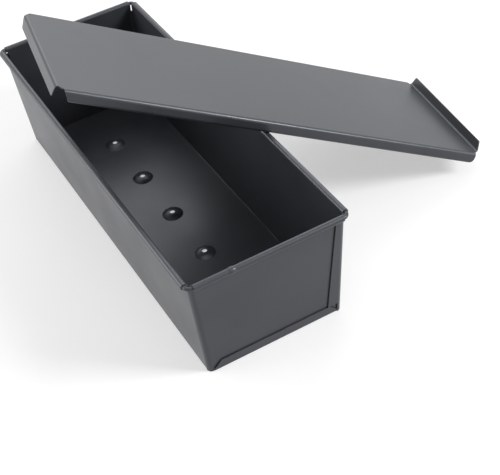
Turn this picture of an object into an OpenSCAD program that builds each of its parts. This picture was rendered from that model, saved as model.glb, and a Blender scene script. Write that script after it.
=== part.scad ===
// A pullman loaf pan: a folded sheet-steel pan with a wired rim, and its rail lid leaning across it.
// Units are millimetres. The origin is the centre of the pan's underside. +X is the end with the
// wire's joint, +Y is the side that the lid leans on and +Z is up.

/* [Sheet] */
// Thickness of the steel sheet of the pan and the lid
sheet = 0.8; // [0.6:0.05:1.2]

/* [Pan] */
// Inside length of the mouth, between the rims
mouth_l = 326; // [180:1:420]
// Inside width of the mouth, between the rims
mouth_w = 114; // [80:1:150]
// Height of the pan over its rims
pan_h = 90; // [60:1:130]
// Lean of the two long walls from upright, in degrees
side_draft = 3.5; // [1:0.25:8]
// Lean of the two end walls from upright, in degrees
end_draft = 3; // [1:0.25:8]
// Inside radius of the upright corner bends
corner_r = 3; // [2:0.25:6]
// Inside radius of the folds along the bottom
fold_r = 0.8; // [0.5:0.1:2]

/* [Rim] */
// Diameter of the rim wire
wire_d = 3; // [2:0.1:5]
// Radius of the wire's centreline round a corner
wire_bend_r = 4; // [3:0.25:8]
// Turn of the sheet round the wire, in degrees
roll_turn = 295; // [240:5:310]
// Distance from the pan's middle line to the wire's joint
wire_joint_y = 28; // [0:1:45]
// Height of the bulge that the wire's joint presses in the rim
joint_bulge = 0.4; // [0.2:0.05:1]

/* [Laps] */
// Width of a lap flap past its corner bend, at the foot
lap_w = 7.7; // [4:0.1:14]
// Width of a lap flap past its corner bend, at the top
lap_top_w = 3.8; // [2:0.1:14]
// Height of the bottom's end flaps
flap_h = 8; // [6:0.5:14]
// Slope cut off the end flap's outer corner
flap_cut = 5.5; // [2:0.5:8]

/* [Bottom domes] */
// Number of vented domes in the bottom
dome_count = 5; // [1:1:7]
// Spacing of the domes
dome_pitch = 53.8; // [30:0.1:60]
// Diameter over a dome's foot
dome_d = 17; // [12:0.5:24]
// Height of a dome above the inside of the bottom
dome_h = 2.6; // [2:0.1:5]
// Diameter of the vent hole
vent_d = 4; // [2:0.1:6]

/* [Lid] */
// Depth of the rail hooks over the lid
hook_h = 8.9; // [6.5:0.1:12]
// Reach of a hook's lip past its web
lip_w = 3.2; // [2:0.1:4.5]
// Depth of the stop flange over the lid
stop_h = 9.5; // [7:0.1:14]
// Height of the pull flange over the lid
pull_h = 7.6; // [4:0.1:12]
// Outside radius of the lid's bends
lid_bend_r = 2.4; // [1.5:0.1:2.5]
// Radius of the relief cut at the stop end's corners
relief_r = 4.8; // [4:0.2:8]
// Distance from the stop end to the hooks, at the plate
hook_start = 5; // [5:0.5:12]
// Slant of the hooks' stop end over their depth
hook_slant = 5.2; // [0:0.2:6]
// Distance from the pull end to the hooks
hook_stop = 3.5; // [3:0.5:9]
// Round of the hooks' lower corner at the pull end
hook_round = 5; // [2.5:0.5:6]
// Radius of the relief cut at the pull end's corners
pull_relief_r = 4; // [3:0.25:5]
// Slant of the stop flange's ends over its depth
stop_taper = 3.6; // [0:0.2:6]
// Slant of the pull flange's ends over its height
pull_taper = 3.2; // [0:0.2:6]
// Round of the end flanges' free corners
flange_round = 1.2; // [0.4:0.2:2]

/* [Leaning lid] */
// Lean of the lid's plate from level, in degrees
lean = 27.6; // [20:0.1:32]
// Swing of the lid from square across the pan, in degrees
swing = 11.2; // [5:0.1:18]
// Offset of the lid's near stop corner from the pan's middle
shift = 31.8; // [10:0.1:50]

/* [Hidden] */
$fn = 64;

wire_gap = 0.05;
lap_gap = 0.2;
rail_play = 0.8;
end_play = 0.9;
relief_ledge = 0.4;
rest_gap = 0.15;
foot_gap = 0.2;

// In the pan a flat reaches this far past the line where a bend takes over, and the bend stops short of it
seam = 0.1;
bend_short = 0.06;

wire_r = wire_d / 2;
roll_r = wire_r + wire_gap + sheet;
roll_z = pan_h - roll_r;
side_y = mouth_w / 2 + roll_r;
end_x = mouth_l / 2 + roll_r;
roll_end_gap = 0.15;
roll_clear = 0.3;

// Distance of a wall's fold or bend line inside its roll's axis, at the height z
function wall_inset(from_face, draft, z) = (from_face - sin(draft) * (z - roll_z)) / cos(draft);

// The outer layer at an end lies outside the end wall by one sheet and the gap of the lap
lap_shift = sheet + lap_gap;

// Axes of the corner bends at the height of the rolls
bend_y = side_y - wall_inset(roll_r + corner_r, side_draft, roll_z);
bend_x = end_x - wall_inset(roll_r + corner_r, end_draft, roll_z);
lap_bend_x = end_x - wall_inset(roll_r + corner_r - lap_shift, end_draft, roll_z);

// Folds along the bottom
fold_z = sheet + fold_r;
side_fold_y = side_y - wall_inset(roll_r + fold_r, side_draft, fold_z);
end_fold_x = end_x - wall_inset(roll_r + fold_r - lap_shift, end_draft, fold_z);

// Tops of the corner bends, below the wire, of the tongues that rise inside the wire's corners, and of
// the lap flaps, below the rolls
corner_top = roll_z - wire_r - roll_clear;
tongue_top = roll_z + 0.5;
lap_top = pan_h - 2 * roll_r - roll_clear;
slit_w = 1.3;
slit_h = 3;

// Distance of the corner bends' axes from the middle line, at the table
foot_y = bend_y - roll_z * tan(side_draft);

// The end wall stops where the fold's inside leaves it the gap of the lap
end_wall_foot = fold_z - sqrt(fold_r * fold_r - (fold_r - lap_gap) * (fold_r - lap_gap)) + lap_gap;
flap_step = 2.5;
flap_short = 0.3;

// Domes
dome_r = dome_d / 2;
dome_foot_r = 1.4;
dome_cap_r = (dome_r * dome_r + dome_h * dome_h) / (2 * dome_h) - dome_foot_r;
dome_cap_z = sheet + dome_h - dome_cap_r;
dome_lean = asin(dome_r / (dome_cap_r + dome_foot_r));

// The bulge's own round, and its width along the rim
bulge_r = 8;
bulge_w = 4.5;

// The lid's plate covers the rims, and its hooks pass outside them
lid_w = mouth_w + 4 * roll_r + 2 * rail_play + 2 * sheet;
lid_l = mouth_l + 4 * roll_r + end_play + sheet;
hook_end = lid_l - hook_stop;
// The relief cut at the pull end leaves a ledge past the hook's end where the hook's bend starts
pull_relief_x = hook_end + relief_ledge + sqrt(pull_relief_r * pull_relief_r - lid_bend_r * lid_bend_r);

// The leaning lid touches the rim's roll with its hooks and the table with the far hook's rounded corner
lid_gap = roll_r + rest_gap;
round_drop = hook_round * sqrt(1 - pow(sin(lean) * sin(swing), 2));
foot_reach = (roll_z + (lid_gap + hook_round) * cos(lean) - round_drop - foot_gap) / sin(lean);
corner_reach = (hook_end - hook_round) * cos(swing) + lid_w * sin(swing) - foot_reach;

cut = 2 * mouth_l;

// A bend of the sheet about Z, from the +X direction round by the given angle, a little short at both ends
module bend(inner, angle, length, short = 0) {
    trim = asin(short / (inner + sheet));
    rotate([0, 0, trim])
        rotate_extrude(angle = angle - 2 * trim)
            translate([inner, 0])
                square([sheet, length]);
}

// A bend along X, centred on the origin: its angle runs from +Y towards +Z
module bend_x(inner, from, angle, x0, x1, short = 0) {
    translate([x0, 0, 0])
        rotate([90, 0, 90])
            rotate([0, 0, from])
                bend(inner, angle, x1 - x0, short);
}

// A flat piece of sheet standing in the X-Z plane, with one face at y
module standing_sheet(y, outline) {
    translate([0, y + sheet, 0])
        rotate([90, 0, 0])
            linear_extrude(sheet)
                polygon(outline);
}

// The frame of a wall: origin on its roll's axis, X along the wall, Y outward and Z up the slope
module wall_frame(turn, out, draft) {
    rotate([0, 0, turn])
        translate([0, out, roll_z])
            rotate([-draft, 0, 0])
                children();
}

// Height up the slope, in a wall's frame, of the point at height z and distance y from the axis
function up_slope(z, y, draft) = (z - roll_z + y * sin(draft)) / cos(draft);

// Half the length of a wall at the height u up its slope, out to its corner bend's tangent
function wall_reach(axis, u, draft, next_draft, inset) =
    axis + tan(next_draft) * cos(draft) * (u + inset * tan(draft)) + seam;

// Children stay between two levels above the table
module between(low, high) {
    intersection() {
        children();
        translate([-cut / 2, -cut / 2, low])
            cube([cut, cut, high - low]);
    }
}

// The upright corner bend at +X+Y, turning about an axis that leans with both walls
module corner_bend(axis_x) {
    sideways = atan(tan(side_draft) * cos(end_draft));
    turn = acos(sin(end_draft) * sin(side_draft));
    translate([axis_x, bend_y, roll_z])
        rotate([-sideways, end_draft, 0])
            translate([0, 0, -pan_h])
                bend(corner_r, turn, 2 * pan_h, bend_short);
}

// The quarter of the bottom under a corner bend
module corner_foot(axis_x) {
    translate([axis_x - roll_z * tan(end_draft), foot_y, 0])
        rotate_extrude(angle = 90)
            square([corner_r + sheet / 2, sheet]);
}

// A corner bend cut to its height: over corner_top only a tongue is left, inside the wire's corner
module corner_height() {
    between(0, corner_top)
        children();
    intersection() {
        between(corner_top - sheet, tongue_top)
            children();
        translate([end_x - wire_bend_r, side_y - wire_bend_r, 0])
            cylinder(h = 2 * pan_h, r = wire_bend_r - wire_r - roll_clear);
    }
}

// The slit at the top of a closed corner, where the sheet was notched before it was rolled
module corner_slit() {
    translate([bend_x, bend_y, corner_top - slit_h])
        rotate([90, 0, 135])
            linear_extrude(2 * (corner_r + 2 * sheet), center = true) {
                circle(slit_w / 2);
                translate([-slit_w / 2, 0])
                    square([slit_w, 3 * slit_h]);
            }
}

// The +Y side wall with its bottom fold and its roll: one end closes a corner, the other laps
module side_wall() {
    inner = -roll_r;
    low = up_slope(fold_z, inner - fold_r, side_draft);
    inset = roll_r + corner_r;
    left_low = wall_reach(bend_x, low, side_draft, end_draft, inset);
    left_top = wall_reach(bend_x, 0, side_draft, end_draft, inset);
    right_low = wall_reach(lap_bend_x, low, side_draft, end_draft, inset);
    right_top = wall_reach(lap_bend_x, 0, side_draft, end_draft, inset);
    roll_end = end_x - wire_bend_r - roll_end_gap;
    wall_frame(0, side_y, side_draft) {
        standing_sheet(inner, [
            [-left_low, low - seam],
            [right_low, low - seam],
            [right_top, seam],
            [-left_top, seam],
        ]);
        bend_x(roll_r - sheet, 180 - roll_turn, roll_turn, -roll_end, roll_end, bend_short);
        translate([0, inner - fold_r, low])
            bend_x(fold_r, side_draft - 90, 90 - side_draft, -left_low, right_low, bend_short);
    }
}

// The +X end wall with its roll. It grows out of the -Y wall's corner bend
module end_wall() {
    inner = -roll_r;
    low = up_slope(end_wall_foot, inner, end_draft);
    inset = roll_r + corner_r;
    reach_low = wall_reach(bend_y, low, end_draft, side_draft, inset);
    reach_top = wall_reach(bend_y, 0, end_draft, side_draft, inset);
    roll_end = side_y - wire_bend_r - roll_end_gap;
    wall_frame(-90, end_x, end_draft) {
        standing_sheet(inner, [
            [-reach_low, low],
            [reach_low, low],
            [reach_top, seam],
            [-reach_top, seam],
        ]);
        bend_x(roll_r - sheet, 180 - roll_turn, roll_turn, -roll_end, roll_end, bend_short);
    }
}

// The flap that carries the +Y wall's corner bend on, outside the +X end wall
module lap_flap() {
    inner = -roll_r + lap_shift;
    low = up_slope(flap_h + lap_gap, inner, end_draft);
    top = up_slope(lap_top, inner, end_draft);
    inset = roll_r + corner_r - lap_shift;
    edge_low = wall_reach(bend_y, low, end_draft, side_draft, inset);
    edge_top = wall_reach(bend_y, top, end_draft, side_draft, inset);
    wall_frame(-90, end_x, end_draft)
        standing_sheet(inner, [
            [-edge_low, low],
            [-edge_low + lap_w, low],
            [-edge_top + lap_top_w, top],
            [-edge_top, top],
        ]);
}

// The bottom's flap, folded up outside the +X end wall
module end_flap() {
    inner = -roll_r + lap_shift;
    low = up_slope(fold_z, inner - fold_r, end_draft);
    step = up_slope(flap_step, inner, end_draft);
    top = up_slope(flap_h, inner, end_draft);
    half = foot_y - flap_short;
    wall_frame(-90, end_x, end_draft) {
        standing_sheet(inner, [
            [-half, low - seam],
            [half, low - seam],
            [half, step],
            [half - flap_cut, top],
            [-half + flap_cut, top],
            [-half, step],
        ]);
        translate([0, inner - fold_r, low])
            bend_x(fold_r, end_draft - 90, 90 - end_draft, -half, half, bend_short);
    }
}

// The bulge over the wire's joint in the +X roll
module wire_joint_bulge() {
    wall_frame(-90, end_x, end_draft)
        translate([wire_joint_y, 0, 0])
            rotate([90, 0, 90])
                rotate([0, 0, 180 - roll_turn])
                    rotate_extrude(angle = roll_turn)
                        intersection() {
                            translate([roll_r + joint_bulge - bulge_r, 0])
                                circle(bulge_r);
                            translate([roll_r - sheet / 2, -bulge_w])
                                square([sheet / 2 + joint_bulge, 2 * bulge_w]);
                        }
}

// Everything that repeats when the pan is turned end for end
module half_pan() {
    side_wall();
    end_wall();
    end_flap();
    lap_flap();
    corner_foot(lap_bend_x);
    difference() {
        corner_height()
            corner_bend(lap_bend_x);
        translate([0, 0, lap_top])
            cube([cut, side_y - wire_bend_r + roll_clear, pan_h]);
    }
    mirror([1, 0, 0]) {
        corner_foot(bend_x);
        difference() {
            corner_height()
                corner_bend(bend_x);
            corner_slit();
        }
    }
}

// Points along an arc about [x, y], with both ends
function arc(x, y, r, from, to, steps) = [
    for (i = [0 : steps])
        let (a = from + (to - from) * i / steps)
            [x + r * cos(a), y + r * sin(a)]
];

// A dome pressed up in the bottom, with its vent hole: a round cap on a hollow-curved foot
module dome() {
    vent_r = vent_d / 2;
    under_r = dome_cap_r - sheet;
    foot_z = sheet + dome_foot_r;
    steps = 8;
    rotate_extrude($fn = 96)
        polygon(concat(
            arc(0, dome_cap_z, dome_cap_r, acos(vent_r / dome_cap_r), 90 - dome_lean, steps),
            arc(dome_r, foot_z, dome_foot_r, 270 - dome_lean, 270, steps),
            [[dome_r + sheet, sheet], [dome_r + sheet, 0]],
            arc(dome_r, foot_z, dome_foot_r + sheet, 270, 270 - dome_lean, steps),
            arc(0, dome_cap_z, under_r, 90 - dome_lean, acos(vent_r / under_r), steps)
        ));
}

// The flat bottom, with a hole for each dome
module bottom() {
    first = -(dome_count - 1) / 2 * dome_pitch;
    difference() {
        translate([-end_fold_x - seam, -side_fold_y - seam, 0])
            cube([2 * (end_fold_x + seam), 2 * (side_fold_y + seam), sheet]);
        for (i = [0 : dome_count - 1])
            translate([first + i * dome_pitch, 0, -sheet])
                cylinder(h = 3 * sheet, r = dome_r + sheet / 2);
    }
    for (i = [0 : dome_count - 1])
        translate([first + i * dome_pitch, 0, 0])
            dome();
}

module pan_body() {
    color("#4b4c50") {
        bottom();
        half_pan();
        rotate([0, 0, 180])
            half_pan();
        wire_joint_bulge();
    }
}

// A straight length of wire from one point to another along X or Y
module wire_run(from, length, turn) {
    translate([from.x, from.y, roll_z])
        rotate([0, 90, turn])
            cylinder(h = length, r = wire_r);
}

module rim_wire() {
    run_x = end_x - wire_bend_r;
    run_y = side_y - wire_bend_r;
    joint_gap = 0.4;
    color("#77787c") {
        for (side = [-1, 1]) {
            wire_run([-run_x, side * side_y], 2 * run_x, 0);
        }
        wire_run([-end_x, -run_y], 2 * run_y, 90);
        wire_run([end_x, -run_y], run_y - wire_joint_y - joint_gap / 2, 90);
        wire_run([end_x, -wire_joint_y + joint_gap / 2], run_y + wire_joint_y - joint_gap / 2, 90);
        for (x = [0, 1], y = [0, 1])
            mirror([x, 0, 0])
                mirror([0, y, 0])
                    translate([run_x, run_y, roll_z])
                        rotate_extrude(angle = 90)
                            translate([wire_bend_r, 0])
                                circle(wire_r);
    }
}

// Outline of a hook seen from the side: slanted at the stop end, rounded at the pull end
module hook_side() {
    difference() {
        polygon([
            [hook_start, sheet],
            [hook_end, sheet],
            [hook_end, -hook_h - sheet],
            [hook_start + hook_slant, -hook_h - sheet],
            [hook_start + hook_slant, -hook_h],
            [hook_start, 0],
        ]);
        translate([hook_end - hook_round, -hook_h])
            difference() {
                translate([0, -2 * sheet])
                    square([hook_round + sheet, hook_round + 2 * sheet]);
                translate([0, hook_round])
                    circle(hook_round);
            }
    }
}

// The rail hook along the lid's y = 0 edge, in the lid's own frame
module hook() {
    inner = lid_bend_r - sheet;
    low = -hook_h + lid_bend_r;
    lip_end = sheet + lip_w;
    intersection() {
        union() {
            translate([0, lid_bend_r, -lid_bend_r])
                bend_x(inner, 90, 90, 0, lid_l);
            translate([0, 0, low])
                cube([lid_l, sheet, -lid_bend_r - low]);
            translate([0, lid_bend_r, low])
                bend_x(inner, 180, 90, 0, lid_l);
            translate([0, lid_bend_r, -hook_h])
                cube([lid_l, lip_end - lid_bend_r, sheet]);
        }
        translate([0, cut / 2, 0])
            rotate([90, 0, 0])
                linear_extrude(cut)
                    hook_side();
    }
}

// Outline of an end flange seen along the lid: its ends slant in towards the free edge at the height h
module flange_side(inset, taper, h) {
    slant = atan(taper / h);
    corner = inset + taper;
    tangent = flange_round * tan(45 - slant / 2);
    foot = inset - lid_bend_r * tan(slant);
    round_low = h - tangent * cos(slant);
    round_in = corner - tangent * sin(slant);
    translate([-sheet, 0, 0])
        rotate([90, 0, 90])
            linear_extrude(cut) {
                polygon([
                    [foot, -lid_bend_r],
                    [lid_w - foot, -lid_bend_r],
                    [lid_w - round_in, round_low],
                    [lid_w - corner - tangent, h],
                    [corner + tangent, h],
                    [round_in, round_low],
                ]);
                for (y = [corner + tangent, lid_w - corner - tangent])
                    translate([y, h - flange_round])
                        circle(flange_round);
            }
}

// The flange folded down at the stop end
module stop_flange() {
    intersection() {
        union() {
            translate([lid_bend_r, 0, -lid_bend_r])
                rotate([-90, 180, 0])
                    bend(lid_bend_r - sheet, 90, lid_w);
            translate([0, 0, -stop_h - sheet])
                cube([sheet, lid_w, stop_h + sheet - lid_bend_r]);
        }
        mirror([0, 0, 1])
            flange_side(relief_r + relief_ledge, stop_taper, stop_h);
    }
}

// The flange folded up at the pull end
module pull_flange() {
    inner = lid_bend_r - sheet;
    intersection() {
        union() {
            translate([lid_l - lid_bend_r, 0, inner])
                rotate([-90, 0, 0])
                    bend(inner, 90, lid_w);
            translate([lid_l - sheet, 0, inner])
                cube([sheet, lid_w, pull_h]);
        }
        flange_side(pull_relief_r + relief_ledge, pull_taper, pull_h);
    }
}

// The lid lying flat: its plate's top is z = 0, its stop end is x = 0 and one rail is y = 0
module flat_lid() {
    difference() {
        translate([lid_bend_r, lid_bend_r, -sheet])
            cube([lid_l - 2 * lid_bend_r, lid_w - 2 * lid_bend_r, sheet]);
        for (y = [0, lid_w]) {
            translate([0, y, -2 * sheet])
                cylinder(h = 3 * sheet, r = relief_r);
            translate([pull_relief_x, y, -2 * sheet])
                cylinder(h = 3 * sheet, r = pull_relief_r);
        }
    }
    hook();
    translate([0, lid_w, 0])
        mirror([0, 1, 0])
            hook();
    stop_flange();
    pull_flange();
}

// The lid leaning over the +Y rim, with its far pull corner on the table
module lid() {
    color("#6f7074")
        translate([0, side_y, roll_z])
            rotate([-lean, 0, 0])
                translate([shift, -corner_reach, lid_gap + hook_h])
                    rotate([0, 0, 90 - swing])
                        flat_lid();
}

pan_body();
rim_wire();
lid();
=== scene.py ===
"""Looks of a loaf pan with its lid leaned across it: coatings, camera, lights and floor."""
import math

import bpy
from mathutils import Matrix, Vector

# Camera: metres and degrees, on a frame 500 pixels wide
IMAGE_WIDTH = 500
FOCAL_PIXELS = 1167.3
SENSOR_WIDTH = 36.0
AZIMUTH = 65.72
ELEVATION = 42.35
ROLL = -7.80
DISTANCE = 0.8788
TARGET = Vector((0.05833, 0.03619, 0.0))

# Colours of the coatings, as linear red, green and blue
PAN_DARK = (0.036, 0.038, 0.044, 1.0)
PAN_LIGHT = (0.048, 0.050, 0.057, 1.0)
LID_DARK = (0.036, 0.038, 0.043, 1.0)
LID_LIGHT = (0.048, 0.050, 0.056, 1.0)
WIRE_DARK = (0.030, 0.031, 0.035, 1.0)
WIRE_LIGHT = (0.045, 0.047, 0.052, 1.0)
# Light colour along the sharp edges: partly real wear, partly a painted highlight on the edges
EDGE_WEAR_AND_HIGHLIGHT = (0.26, 0.265, 0.28, 1.0)
FLOOR_COLOUR = (0.55, 0.55, 0.55, 1.0)

# The coating's sheen: its refractive index and its slightly cool tint
COATING_IOR = 1.5
COATING_TINT = (0.87, 0.92, 1.0, 1.0)

# Detail of the coating, in lumps per metre
MOTTLING_SCALE = 22.0
GRAIN_SCALE = 900.0
WEAR_AND_HIGHLIGHT_SCALE = 260.0
PEEL_SCALE = 1500.0
# Parts of the noise's range that are stretched to the whole of an effect
MOTTLING_RANGE = (0.35, 0.65)
GRAIN_RANGE = (0.45, 0.75)
WEAR_AND_HIGHLIGHT_RANGE = (0.38, 0.62)
ROUGHNESS_RANGE = (0.3, 0.7)
# Noise scale along each axis: the rolling grain is drawn out along one of them
GRAIN_ALONG_X = (0.06, 1.0, 1.0)
GRAIN_ALONG_Y = (1.0, 0.06, 1.0)
EVEN_GRAIN = (1.0, 1.0, 1.0)
# How far the grain lightens the colour, and the orange peel's strength and depth in metres
GRAIN_STRENGTH = 0.22
PEEL_STRENGTH = 0.12
PEEL_DEPTH = 0.0002
# Widths in metres of the band along an edge that is lightened, partly as wear and partly as a painted
# highlight, and of the edge's own round
WEAR_AND_HIGHLIGHT_RADIUS = 0.0004
ROUND_RADIUS = 0.0003
BEVEL_SAMPLES = 4
# Agreement of the true and the rounded normal where the edge lightening (wear and painted highlight)
# starts, and where it is full
WEAR_AND_HIGHLIGHT_STARTS = 0.995
WEAR_AND_HIGHLIGHT_FULL = 0.80
# Share of the edge lightening, wear and painted highlight, that is left between its patches
WEAR_AND_HIGHLIGHT_BETWEEN = 0.25
# Change to the coating's roughness at the smooth and the rough end of the mottling
SMOOTHER = -0.04
ROUGHER = 0.05

# Kinds of ray that see the white background
WHITE_RAYS = ("Is Camera Ray", "Is Glossy Ray", "Is Transmission Ray")
# Light of the surroundings: on matt surfaces, and as the white rays see it
ROOM_LIGHT = 0.20
ROOM_SEEN = 1.0
# White that the floor shows to the white rays besides the light that falls on it
FLOOR_GLOW = 0.50
# The floor's width in metres and its roughness
FLOOR_SIZE = 6.0
FLOOR_ROUGHNESS = 0.9

# The point that the soft lamps are aimed at, in metres
LAMP_AIM = (0.0, 0.0, 0.05)
# Soft lamps: name, place in metres, width in metres and power in watts
LAMPS = (
    ("left", (-0.75, -1.25, 0.40), 1.20, 18.0),
    ("right", (0.90, 1.00, 0.95), 0.50, 20.0),
    ("back", (-1.15, 0.55, 1.15), 1.50, 12.0),
    ("top", (0.20, -0.20, 1.90), 1.00, 4.0),
)


def add_node(tree, kind, **inputs):
    """Add a shader node and set its unlinked inputs by name."""
    node = tree.nodes.new(kind)
    for name, value in inputs.items():
        node.inputs[name.replace("_", " ")].default_value = value
    return node


def mix_colours(tree, amount, first, second):
    """Mix two colours, each a plain colour or a socket, by the socket amount."""
    mix = tree.nodes.new("ShaderNodeMix")
    mix.data_type = "RGBA"
    tree.links.new(amount, mix.inputs[0])
    for socket, colour in ((mix.inputs[6], first), (mix.inputs[7], second)):
        if isinstance(colour, tuple):
            socket.default_value = colour
        else:
            tree.links.new(colour, socket)
    return mix.outputs[2]


def stretch_range(tree, value, low, high, to_low, to_high):
    """Map a socket's value from one range to another, clamped."""
    node = add_node(tree, "ShaderNodeMapRange")
    tree.links.new(value, node.inputs["Value"])
    node.inputs["From Min"].default_value = low
    node.inputs["From Max"].default_value = high
    node.inputs["To Min"].default_value = to_low
    node.inputs["To Max"].default_value = to_high
    return node.outputs["Result"]


def noise(tree, place, scale, detail, roughness=0.5):
    """Noise over a place socket; the scale is in lumps per metre."""
    node = add_node(tree, "ShaderNodeTexNoise", Scale=scale, Detail=detail, Roughness=roughness)
    tree.links.new(place, node.inputs["Vector"])
    return node.outputs["Fac"]


def scaled_place(tree, place, scale):
    """The place socket stretched along the axes."""
    node = tree.nodes.new("ShaderNodeMapping")
    tree.links.new(place, node.inputs["Vector"])
    node.inputs["Scale"].default_value = scale
    return node.outputs["Vector"]


def edge_amount(tree, radius):
    """How close the surface is to a sharp edge, from 0 to 1."""
    bevel = add_node(tree, "ShaderNodeBevel", Radius=radius)
    bevel.samples = BEVEL_SAMPLES
    geometry = tree.nodes.new("ShaderNodeNewGeometry")
    dot = tree.nodes.new("ShaderNodeVectorMath")
    dot.operation = "DOT_PRODUCT"
    tree.links.new(bevel.outputs["Normal"], dot.inputs[0])
    tree.links.new(geometry.outputs["Normal"], dot.inputs[1])
    return stretch_range(tree, dot.outputs["Value"], WEAR_AND_HIGHLIGHT_STARTS, WEAR_AND_HIGHLIGHT_FULL, 0.0, 1.0)


def coating(name, dark, light, grain_axis, metallic, roughness, wear_and_highlight):
    """A baked satin coating on rolled sheet: mottling, faint rolling grain, orange peel, and edges
    lightened partly as wear and partly as a painted highlight.
    """
    material = bpy.data.materials.new(name)
    material.use_nodes = True
    tree = material.node_tree
    shader = tree.nodes["Principled BSDF"]
    shader.inputs["Metallic"].default_value = metallic
    shader.inputs["IOR"].default_value = COATING_IOR
    shader.inputs["Specular Tint"].default_value = COATING_TINT
    place = tree.nodes.new("ShaderNodeTexCoord").outputs["Object"]

    clouds = noise(tree, place, MOTTLING_SCALE, detail=4.0)
    colour = mix_colours(tree, stretch_range(tree, clouds, *MOTTLING_RANGE, 0.0, 1.0), dark, light)
    grain = noise(tree, scaled_place(tree, place, grain_axis), GRAIN_SCALE, detail=2.0)
    grain_amount = stretch_range(tree, grain, *GRAIN_RANGE, 0.0, GRAIN_STRENGTH)
    colour = mix_colours(tree, grain_amount, colour, light)
    # Lighten the sharp edges in patches: partly real wear, partly a painted highlight along the edges
    wear_and_highlight_patches = noise(tree, place, WEAR_AND_HIGHLIGHT_SCALE, detail=3.0, roughness=0.65)
    wear_and_highlight_mask = tree.nodes.new("ShaderNodeMath")
    wear_and_highlight_mask.operation = "MULTIPLY"
    tree.links.new(edge_amount(tree, WEAR_AND_HIGHLIGHT_RADIUS), wear_and_highlight_mask.inputs[0])
    tree.links.new(stretch_range(tree, wear_and_highlight_patches, *WEAR_AND_HIGHLIGHT_RANGE, WEAR_AND_HIGHLIGHT_BETWEEN * wear_and_highlight, wear_and_highlight), wear_and_highlight_mask.inputs[1])
    colour = mix_colours(tree, wear_and_highlight_mask.outputs["Value"], colour, EDGE_WEAR_AND_HIGHLIGHT)
    tree.links.new(colour, shader.inputs["Base Color"])

    fine = noise(tree, place, PEEL_SCALE, detail=2.0)
    rough = stretch_range(tree, clouds, *ROUGHNESS_RANGE, roughness + SMOOTHER, roughness + ROUGHER)
    tree.links.new(rough, shader.inputs["Roughness"])

    round_edge = add_node(tree, "ShaderNodeBevel", Radius=ROUND_RADIUS)
    round_edge.samples = BEVEL_SAMPLES
    peel = add_node(tree, "ShaderNodeBump", Strength=PEEL_STRENGTH, Distance=PEEL_DEPTH)
    tree.links.new(fine, peel.inputs["Height"])
    tree.links.new(round_edge.outputs["Normal"], peel.inputs["Normal"])
    tree.links.new(peel.outputs["Normal"], shader.inputs["Normal"])
    return material


def pan_coating():
    """The pan's coating, with the rolling grain along X."""
    return coating(
        "pan_coating", PAN_DARK, PAN_LIGHT, GRAIN_ALONG_X, metallic=0.0, roughness=0.34, wear_and_highlight=0.5)


def wire_coating():
    """The rim wire's coating: darker, with an even grain, and partly metallic."""
    return coating(
        "wire_coating", WIRE_DARK, WIRE_LIGHT, EVEN_GRAIN, metallic=0.2, roughness=0.36, wear_and_highlight=0.3)


def lid_coating():
    """The lid's coating, with the rolling grain along Y."""
    return coating(
        "lid_coating", LID_DARK, LID_LIGHT, GRAIN_ALONG_Y, metallic=0.0, roughness=0.34, wear_and_highlight=0.6)


def paint(node_name, material):
    """Give every material slot of a node's object the same material."""
    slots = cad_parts[node_name].data.materials
    if len(slots) == 0:
        slots.append(material)
    for i in range(len(slots)):
        slots[i] = material


def ray_amount(tree, kinds, otherwise, seen):
    """One amount for the named kinds of ray, and another for the rest."""
    rays = tree.nodes.new("ShaderNodeLightPath")
    amount = rays.outputs[kinds[0]]
    for kind in kinds[1:]:
        most = tree.nodes.new("ShaderNodeMath")
        most.operation = "MAXIMUM"
        tree.links.new(amount, most.inputs[0])
        tree.links.new(rays.outputs[kind], most.inputs[1])
        amount = most.outputs["Value"]
    return stretch_range(tree, amount, 0.0, 1.0, otherwise, seen)


def make_floor():
    """A plain pale floor that the camera and a gloss see as white, with the soft shadow."""
    bpy.ops.mesh.primitive_plane_add(size=FLOOR_SIZE, location=(0.0, 0.0, 0.0))
    floor = bpy.context.object
    floor.name = "floor"
    material = bpy.data.materials.new("floor_white")
    material.use_nodes = True
    tree = material.node_tree
    shader = tree.nodes["Principled BSDF"]
    shader.inputs["Base Color"].default_value = FLOOR_COLOUR
    shader.inputs["Roughness"].default_value = FLOOR_ROUGHNESS
    shader.inputs["Emission Color"].default_value = (1.0, 1.0, 1.0, 1.0)
    glow = ray_amount(tree, WHITE_RAYS, 0.0, FLOOR_GLOW)
    tree.links.new(glow, shader.inputs["Emission Strength"])
    floor.data.materials.append(material)


def make_world():
    """Soft light from all round, white where the camera or a gloss looks at it."""
    world = bpy.data.worlds.new("studio")
    bpy.context.scene.world = world
    world.use_nodes = True
    tree = world.node_tree
    background = tree.nodes["Background"]
    background.inputs["Color"].default_value = (1.0, 1.0, 1.0, 1.0)
    tree.links.new(ray_amount(tree, WHITE_RAYS, ROOM_LIGHT, ROOM_SEEN), background.inputs["Strength"])


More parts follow.
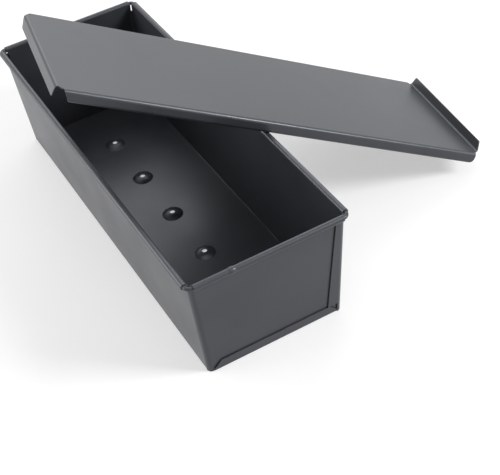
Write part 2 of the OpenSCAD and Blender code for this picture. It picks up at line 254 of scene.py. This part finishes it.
def add_softbox(name, place, aim, size, power):
    """A square soft light at a place, aimed at a point."""
    data = bpy.data.lights.new(name, "AREA")
    data.size = size
    data.energy = power
    lamp = bpy.data.objects.new(name, data)
    bpy.context.collection.objects.link(lamp)
    lamp.location = place
    lamp.rotation_euler = (Vector(aim) - Vector(place)).to_track_quat("-Z", "Y").to_euler()


def make_camera():
    """The camera at the photo's angle: it looks at TARGET and rolls about its own axis."""
    azimuth = math.radians(AZIMUTH)
    elevation = math.radians(ELEVATION)
    roll = math.radians(ROLL)
    back = Vector((
        math.sin(azimuth) * math.cos(elevation),
        -math.cos(azimuth) * math.cos(elevation),
        math.sin(elevation),
    ))
    right = (-back).cross(Vector((0.0, 0.0, 1.0))).normalized()
    up = right.cross(-back)
    across = math.cos(roll) * right + math.sin(roll) * up
    upright = math.cos(roll) * up - math.sin(roll) * right
    data = bpy.data.cameras.new("camera")
    data.sensor_width = SENSOR_WIDTH
    data.lens = FOCAL_PIXELS * SENSOR_WIDTH / IMAGE_WIDTH
    camera = bpy.data.objects.new("camera", data)
    bpy.context.collection.objects.link(camera)
    turned = Matrix((across, upright, back)).transposed().to_4x4()
    camera.matrix_world = Matrix.Translation(TARGET + DISTANCE * back) @ turned
    bpy.context.scene.camera = camera


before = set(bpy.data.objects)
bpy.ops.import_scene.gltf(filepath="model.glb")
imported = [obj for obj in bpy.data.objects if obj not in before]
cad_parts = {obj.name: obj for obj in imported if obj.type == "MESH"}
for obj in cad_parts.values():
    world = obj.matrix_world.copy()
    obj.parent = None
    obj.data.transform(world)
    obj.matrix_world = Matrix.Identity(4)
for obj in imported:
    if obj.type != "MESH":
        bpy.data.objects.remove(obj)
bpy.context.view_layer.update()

make_camera()
make_floor()
make_world()
for lamp_name, lamp_place, lamp_size, lamp_power in LAMPS:
    add_softbox(lamp_name, lamp_place, LAMP_AIM, lamp_size, lamp_power)

paint("pan_body", pan_coating())
paint("rim_wire", wire_coating())
paint("lid", lid_coating())

bpy.context.scene.view_settings.view_transform = "Standard"
